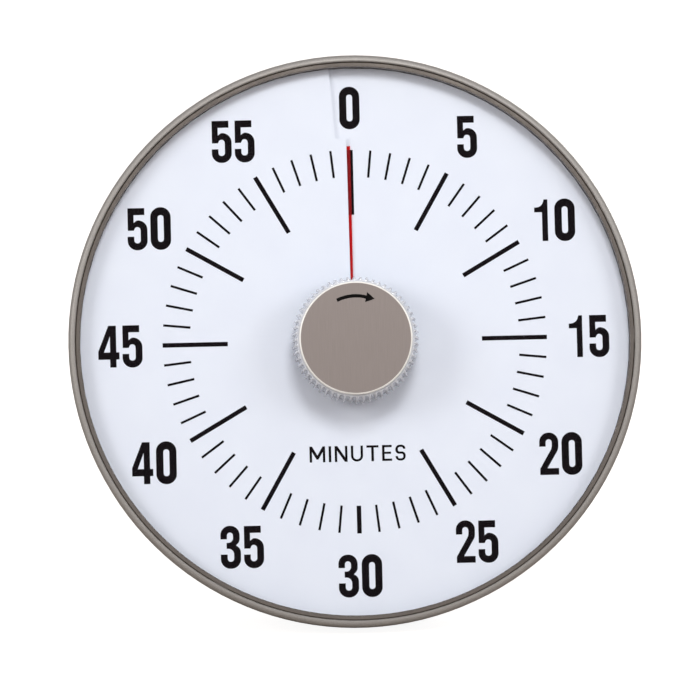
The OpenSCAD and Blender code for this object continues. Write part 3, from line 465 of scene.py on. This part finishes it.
def rounded(corners):
    """A loop of points with its corners rounded by arcs."""
    loop = []
    for i, (x, y, r) in enumerate(corners):
        here = Vector((x, y))
        if not r:
            loop.append(here)
            continue
        back = (Vector(corners[i - 1][:2]) - here)
        on = (Vector(corners[(i + 1) % len(corners)][:2]) - here)
        half = back.angle(on) / 2
        reach = r / math.tan(half)
        start, end = here + back.normalized() * reach, here + on.normalized() * reach
        middle = here + (back.normalized() + on.normalized()).normalized() * r / math.sin(half)
        a, b = start - middle, end - middle
        swing = math.atan2(a.x * b.y - a.y * b.x, a.dot(b))
        steps = max(2, round(abs(swing) * max(r, 1) * 3))
        for k in range(steps + 1):
            loop.append(middle + Matrix.Rotation(swing * k / steps, 2) @ a)
    return loop


def print_line(text, forms, gap, scale, x, y):
    """The loops of a line of figures or letters, upright, centred on x with its foot at y."""
    width = sum(forms[f][0] for f in text) + gap * (len(text) - 1)
    loops, at = [], -width / 2
    for f in text:
        advance, shapes = forms[f]
        loops += [[(x + (at + p.x) * scale, y + p.y * scale) for p in rounded(shape)] for shape in shapes]
        at += advance + gap
    return loops


def flat_print(name, loops):
    """A closed flat shape of the ink's thickness from loops; inner loops are holes."""
    outline = bpy.data.curves.new(name, "CURVE")
    outline.dimensions, outline.fill_mode, outline.extrude = "2D", "BOTH", INK / 2
    for loop in loops:
        spline = outline.splines.new("POLY")
        spline.points.add(len(loop) - 1)
        for point, (x, y) in zip(spline.points, loop):
            point.co = (x, y, 0, 1)
        spline.use_cyclic_u = True
    holder = bpy.data.objects.new(name, outline)
    bpy.context.scene.collection.objects.link(holder)
    graph = bpy.context.evaluated_depsgraph_get()
    mesh = bpy.data.meshes.new_from_object(holder.evaluated_get(graph), depsgraph=graph)
    bpy.data.objects.remove(holder)
    work = bmesh.new()
    work.from_mesh(mesh)
    bmesh.ops.remove_doubles(work, verts=work.verts, dist=1e-4)
    bmesh.ops.recalc_face_normals(work, faces=work.faces)
    work.to_mesh(mesh)
    work.free()
    mesh.materials.clear()
    return mesh


def laid_on_card(mesh):
    """Sets a flat print down on the card's helix."""
    for v in mesh.vertices:
        v.co.z += INK / 2 + card_height(v.co.x, v.co.y)
    mesh.materials.append(dial_ink)
    return mesh


numeral_loops = []
for minutes in range(0, 60, 5):
    turn = math.radians(minutes * 6)
    numeral_loops += print_line(str(minutes), FIGURES, FIGURE_GAP, FIGURE_SCALE, NUMERAL_R * math.sin(turn),
                                NUMERAL_R * math.cos(turn) - FIGURE_HEIGHT * FIGURE_SCALE / 2)
piece("numerals", laid_on_card(flat_print("numerals", numeral_loops)), "case")

# a plain word for the scale stands under the knob
word_loops = print_line("MINUTES", LETTERS, LETTER_GAP, 1, 0, -WORD_DOWN - LETTER_HEIGHT / 2)
piece("scale_word", laid_on_card(flat_print("scale_word", word_loops)), "case")

# ---- Arrow on the cap ----

ARROW_R, ARROW_STROKE = 13.15, 1.05
ARROW_FROM, ARROW_NECK, ARROW_TIP = -25.5, 15.4, 26.9
ARROW_HEAD = 1.6


def on_dial(r, turn):
    """Point at a radius and clockwise angle in degrees."""
    return (r * math.sin(math.radians(turn)), r * math.cos(math.radians(turn)))


ARROW_STEPS = 24
sweep = [ARROW_FROM + (ARROW_NECK - ARROW_FROM) * k / ARROW_STEPS for k in range(ARROW_STEPS + 1)]
arrow_loop = ([on_dial(ARROW_R + ARROW_STROKE / 2, a) for a in sweep]
              + [on_dial(ARROW_R + ARROW_HEAD, ARROW_NECK - 0.5), on_dial(ARROW_R + 0.4, ARROW_TIP),
                 on_dial(ARROW_R - ARROW_HEAD, ARROW_NECK + 0.4)]
              + [on_dial(ARROW_R - ARROW_STROKE / 2, a) for a in reversed(sweep)])
arrow = flat_print("turn_arrow", [arrow_loop])
arrow.transform(Matrix.Translation((0, 0, cap_face + INK / 2)))
arrow.materials.append(arrow_ink)
piece("turn_arrow", arrow, "knob")

# ---- Knob skirt: a turned shell whose outer wall a node tree draws into ribs ----

RIBS = 60
RIB_HEIGHT = 0.85
RIB_STEPS = 16          # steps of the shell to one rib
RIB_END = 1.1           # length of a rib's rounded end under the cap
RIB_END_LEVELS = (1, 0.8, 0.6, 0.4, 0.25, 0.12, 0.04)    # rings of the rounded end, as shares of it
RIB_FLAT, RIB_FULL = -0.3, 0.35      # heights over the skirt's foot between which the ribs grow
CROWN_FROM, CROWN_TO = -0.35, 0.9    # part of the wave round the wall that makes a rib
WALL_BAND = 0.4         # how far inside the wall's radius a point begins to move out
TOP_DRAFT = 0.9         # how much the wall draws in towards the cap
SKIRT_CHAMFER = 0.3
SKIRT_WALL = 3.2        # thickness of the wall with its ribs
SEAT_LAP = 2            # how far the wall reaches in under the cap
WEB_TOP, WEB_LOW = 1.1, 2.6                      # of the web that carries the boss, below the cap
BOSS_R, BORE_R, SCREW_HOLE_R = 6.0, 3.02, 1.6    # radii of the boss, its spindle bore, the screw's hole


def skirt_shell():
    """Closed shell of the skirt round z: outer wall, seat for the cap, web, hollow and boss."""
    wall = skirt_radius - RIB_HEIGHT
    web_top, web_low = cap_back - WEB_TOP, cap_back - WEB_LOW
    seat, hollow = cap_radius - SEAT_LAP, skirt_radius - SKIRT_WALL
    rise = cap_back - skirt_base
    levels = [RIB_FULL, rise * 0.3, rise * 0.6] + [rise - RIB_END * share for share in RIB_END_LEVELS]
    profile = ([(wall - SKIRT_CHAMFER, skirt_base)]
               + [(wall - TOP_DRAFT * z / rise, skirt_base + z) for z in levels]
               + [(wall - TOP_DRAFT - SKIRT_CHAMFER, cap_back),
                  (seat, cap_back), (seat, web_top), (SCREW_HOLE_R, web_top), (SCREW_HOLE_R, web_low),
                  (BORE_R, web_low), (BORE_R, skirt_base), (BOSS_R, skirt_base), (BOSS_R, web_low),
                  (hollow, web_low), (hollow, skirt_base)])
    around = RIBS * RIB_STEPS
    points, faces, size = [], [], len(profile)
    for k in range(around):
        c, s = math.cos(math.tau * k / around), math.sin(math.tau * k / around)
        points += [(r * c, r * s, z) for r, z in profile]
        for i in range(size):
            a, b = k * size + i, k * size + (i + 1) % size
            step = size if k < around - 1 else -k * size
            faces.append((a, a + step, b + step, b))
    shell = bpy.data.meshes.new("knob_skirt_shell")
    shell.from_pydata(points, [], faces)
    work = bmesh.new()
    work.from_mesh(shell)
    bmesh.ops.recalc_face_normals(work, faces=work.faces)
    work.to_mesh(shell)
    work.free()
    return shell


def rib_tree():
    """Moves the outer wall out into rounded ribs, which fade out at the wall's top and foot."""
    tree, given = node_tree("ribs_round_a_wall", {
        "Geometry": None, "Ribs": 60, "Height": 0.8, "Wall": 18.0, "Base": 5.6, "Top": 15.6})
    place = add(tree, "GeometryNodeInputPosition")
    xyz = add(tree, "ShaderNodeSeparateXYZ", {0: place}).outputs
    turn = add(tree, "ShaderNodeMath", {0: xyz["Y"], 1: xyz["X"]}, operation="ARCTAN2")
    phase = add(tree, "ShaderNodeMath", {0: turn, 1: given["Ribs"]}, operation="MULTIPLY")
    wave = add(tree, "ShaderNodeMath", {0: phase}, operation="COSINE")
    # a rib takes the wave's upper part, so that a rounded bar stands between wider gaps
    crown = add(tree, "ShaderNodeMapRange", {
        "Value": wave, "From Min": CROWN_FROM, "From Max": CROWN_TO}, interpolation_type="SMOOTHSTEP")
    flat = add(tree, "ShaderNodeVectorMath", {0: place, 1: (1, 1, 0)}, operation="MULTIPLY")
    reach = add(tree, "ShaderNodeVectorMath", {0: flat}, operation="LENGTH").outputs["Value"]
    inside = add(tree, "ShaderNodeMath", {0: given["Wall"], 1: WALL_BAND}, operation="SUBTRACT")
    outside = add(tree, "ShaderNodeMapRange", {
        "Value": reach, "From Min": inside, "From Max": given["Wall"]})
    above = add(tree, "ShaderNodeMath", {0: xyz["Z"], 1: given["Base"]}, operation="SUBTRACT")
    foot = add(tree, "ShaderNodeMapRange", {"Value": above, "From Min": RIB_FLAT, "From Max": RIB_FULL})
    below = add(tree, "ShaderNodeMath", {0: given["Top"], 1: xyz["Z"]}, operation="SUBTRACT")
    end = add(tree, "ShaderNodeMapRange", {"Value": below, "From Min": 0.0, "From Max": RIB_END})
    rounded_end = add(tree, "ShaderNodeMath", {0: end, 1: 0.5}, operation="POWER")
    both = add(tree, "ShaderNodeMath", {0: foot, 1: rounded_end}, operation="MULTIPLY")
    fade = add(tree, "ShaderNodeMath", {0: both, 1: outside}, operation="MULTIPLY")
    share = add(tree, "ShaderNodeMath", {0: crown, 1: fade}, operation="MULTIPLY")
    out = add(tree, "ShaderNodeMath", {0: share, 1: given["Height"]}, operation="MULTIPLY")
    way = add(tree, "ShaderNodeVectorMath", {0: flat}, operation="NORMALIZE")
    shift = add(tree, "ShaderNodeVectorMath", {0: way, "Scale": out}, operation="SCALE")
    close_tree(tree, add(tree, "GeometryNodeSetPosition", {"Geometry": given["Geometry"], "Offset": shift}),
               finishes["knob_clear"])
    return tree


skirt = grown("knob_skirt_ribbed", rib_tree(), {
    "Ribs": RIBS, "Height": RIB_HEIGHT, "Wall": skirt_radius - RIB_HEIGHT - TOP_DRAFT - 0.1,
    "Base": skirt_base, "Top": cap_back}, skirt_shell())
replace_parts(piece("knob_skirt_ribbed", skirt, "knob", 55), "knob_skirt")

# ---- Floor, backdrop, lights and camera ----

FLOOR_R, WALL_AT, WALL_H, BEND = 2.4, 1.6, 3.0, 0.6     # of the paper sweep, in metres
PAPER_GLOW = 0.92       # brightness of the paper for the camera
ROOM_LIGHT = 0.41       # strength of the white room as a light


def white_paper(tree):
    """White paper, overexposed for the camera only, so that it throws no glow on the timer."""
    seen = add(tree, "ShaderNodeLightPath").outputs["Is Camera Ray"]
    return add(tree, "ShaderNodeBsdfPrincipled", {
        "Base Color": between(tree, "#A1978F", "#A99F97", mottle(tree, 300, 0, 1)), "Roughness": 0.9,
        "Emission Color": (1, 1, 1, 1),
        "Emission Strength": add(tree, "ShaderNodeMath", {0: seen, 1: PAPER_GLOW}, operation="MULTIPLY")})


def sweep_backdrop():
    """A floor that bends up into a wall behind the timer."""
    bend = [(WALL_AT - BEND + BEND * math.sin(a), BEND - BEND * math.cos(a))
            for a in (math.radians(10 * k) for k in range(10))]
    path = [(-FLOOR_R, 0)] + bend + [(WALL_AT, WALL_H)]
    points = [(s * FLOOR_R, y, z) for y, z in path for s in (-1, 1)]
    faces = [(2 * k, 2 * k + 1, 2 * k + 3, 2 * k + 2) for k in range(len(path) - 1)]
    mesh = bpy.data.meshes.new("studio_sweep")
    mesh.from_pydata(points, [], faces)
    for face in mesh.polygons:
        face.use_smooth = True
    mesh.materials.append(finish("white_paper", white_paper))
    made = bpy.data.objects.new("studio_sweep", mesh)
    bpy.context.scene.collection.objects.link(made)


sweep_backdrop()

dial_centre = DIAL.translation


def softbox(name, side_deg, up_deg, distance, size, watts, colour):
    """A square light that faces the dial from an angle to its normal."""
    a, e = math.radians(side_deg), math.radians(up_deg)
    way = DIAL.to_3x3() @ Vector((math.sin(a) * math.cos(e), math.sin(e), math.cos(a) * math.cos(e)))
    lamp = bpy.data.lights.new(name, "AREA")
    lamp.size, lamp.energy, lamp.color = size, watts, linear(colour)[:3]
    made = bpy.data.objects.new(name, lamp)
    made.location = dial_centre + way * distance
    made.rotation_euler = way.to_track_quat("Z", "Y").to_euler()
    bpy.context.scene.collection.objects.link(made)


# side and height in degrees, distance and size in metres, then watts and colour
softbox("left_softbox", -48, 14, 1.3, 0.5, 4.7, "#FFFEFC")
softbox("right_softbox", 46, 14, 1.3, 0.5, 3.4, "#FFFEFC")
softbox("top_softbox", 5, 31, 1.4, 0.4, 7.6, "#FFFFFF")
softbox("back_softbox", 148, 28, 1.2, 0.5, 5.0, "#FFFEFC")

world = bpy.data.worlds.new("white_studio")
world.use_nodes = True
studio = world.node_tree
studio.nodes.clear()
# the room is dim as a light, and white where it shows behind the timer
strength = add(studio, "ShaderNodeMapRange", {
    "Value": add(studio, "ShaderNodeLightPath").outputs["Is Camera Ray"],
    "To Min": ROOM_LIGHT, "To Max": 1.0})
add(studio, "ShaderNodeOutputWorld", {"Surface": add(studio, "ShaderNodeBackground", {
    "Color": linear("#FBFAFF"), "Strength": strength})})
bpy.context.scene.world = world
bpy.context.scene.view_settings.view_transform = "Standard"

# The camera looks up the dial's normal from a little below it, far off, and leans a little
CAMERA_DISTANCE = 1.8
BELOW_NORMAL = 3.6      # degrees
TO_LEFT = 1.2           # degrees
ROLL = 1.3              # degrees, the timer's top leans to the left
SPAN = 0.2203           # width of the view at the dial
AIM = Vector((-1.6, -2.7, 0)) * MM     # what the middle of the view falls on, from the dial's centre

camera_data = bpy.data.cameras.new("camera")
camera_data.sensor_width = 36
camera_data.lens = camera_data.sensor_width * CAMERA_DISTANCE / SPAN
camera_data.clip_end = 20
camera = bpy.data.objects.new("camera", camera_data)
turned = (DIAL.to_3x3() @ Matrix.Rotation(math.radians(BELOW_NORMAL), 3, "X")
          @ Matrix.Rotation(math.radians(-TO_LEFT), 3, "Y") @ Matrix.Rotation(math.radians(-ROLL), 3, "Z"))
camera.matrix_world = (Matrix.Translation(DIAL @ AIM) @ turned.to_4x4()
                       @ Matrix.Translation((0, 0, CAMERA_DISTANCE)))
bpy.context.scene.collection.objects.link(camera)
bpy.context.scene.camera = camera
